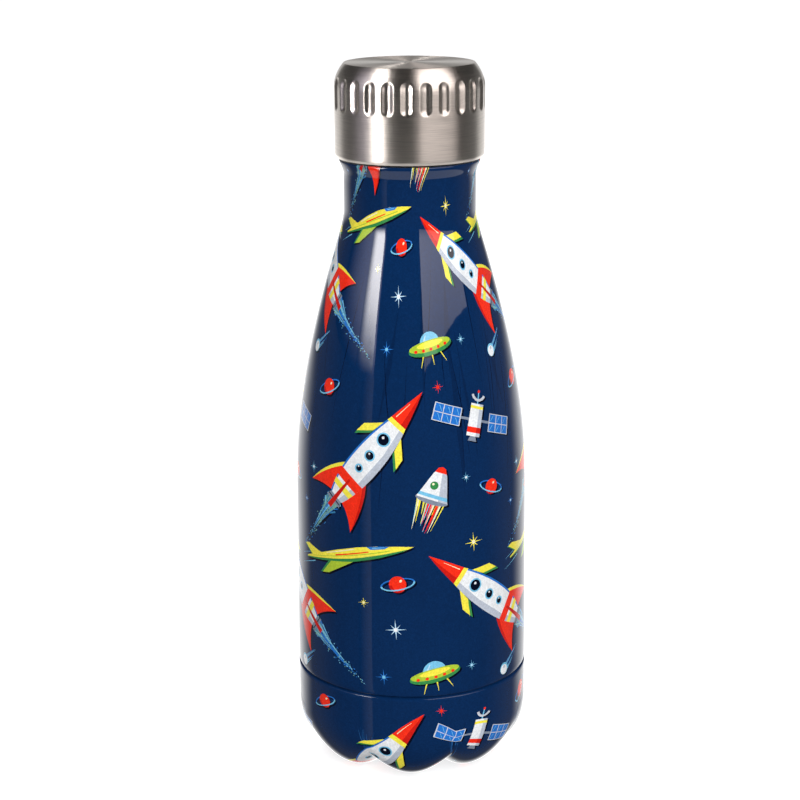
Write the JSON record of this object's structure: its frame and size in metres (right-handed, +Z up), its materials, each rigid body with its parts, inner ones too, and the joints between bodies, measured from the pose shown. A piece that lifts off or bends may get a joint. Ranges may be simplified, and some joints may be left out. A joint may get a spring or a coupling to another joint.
{
  "type": "kids vacuum water bottle",
  "caption": "Double-walled vacuum bottle, cola-bottle shape, with a petal base and a fluted screw cap that carries a threaded insulated stopper.",
  "frame": {"origin": "centre of the circle that the eight feet stand on, on the bottle's axis", "axes": "+Z up along the bottle's axis, -Y towards the front, +X to the right seen from the front"},
  "size_m": [0.065, 0.065, 0.1967],
  "materials": {
    "printed_paint": "glossy navy paint on steel with a small-scale colour print under clear coat",
    "brushed_cap_steel": "brushed round the cap",
    "bare_steel": "satin, electropolished inside",
    "copper_foil": "thin bright foil",
    "getter": "pressed metal powder, matt grey",
    "solder_glass": "dark fused bead",
    "white_plastic": "moulded, fine matt",
    "foam": "closed-cell foam, dull",
    "silicone": "milky translucent silicone"
  },
  "bodies": {
    "bottle": {"outer_shell": "printed_paint", "base_cup": "printed_paint", "inner_flask": "bare_steel", "inner_flask_bottom": "bare_steel", "radiation_foil": "copper_foil", "getter_pill": "getter", "getter_holder": "bare_steel", "exhaust_seal_bead": "solder_glass", "exhaust_cover_disc": "bare_steel"},
    "seal": {"seal_ring": "silicone"},
    "cap": {"cap_shell": "brushed_cap_steel", "cap_liner": "white_plastic", "plug_foam": "foam", "plug_end_disc": "white_plastic"}
  },
  "joints": [
    {"name": "cap_lift", "type": "slide", "parent": "bottle", "child": "seal", "axis": [0, 0, 1], "range_m": [0, 0.024]},
    {"name": "cap_turn", "type": "hinge", "parent": "seal", "child": "cap", "pos_m": [0, 0, 0.184], "axis": [0, 0, 1], "range_deg": [0, 1440]}
  ],
  "couplings": [
    {"joint": "cap_lift", "follows": "cap_turn", "m_per_rad": 0.00095492}
  ]
}
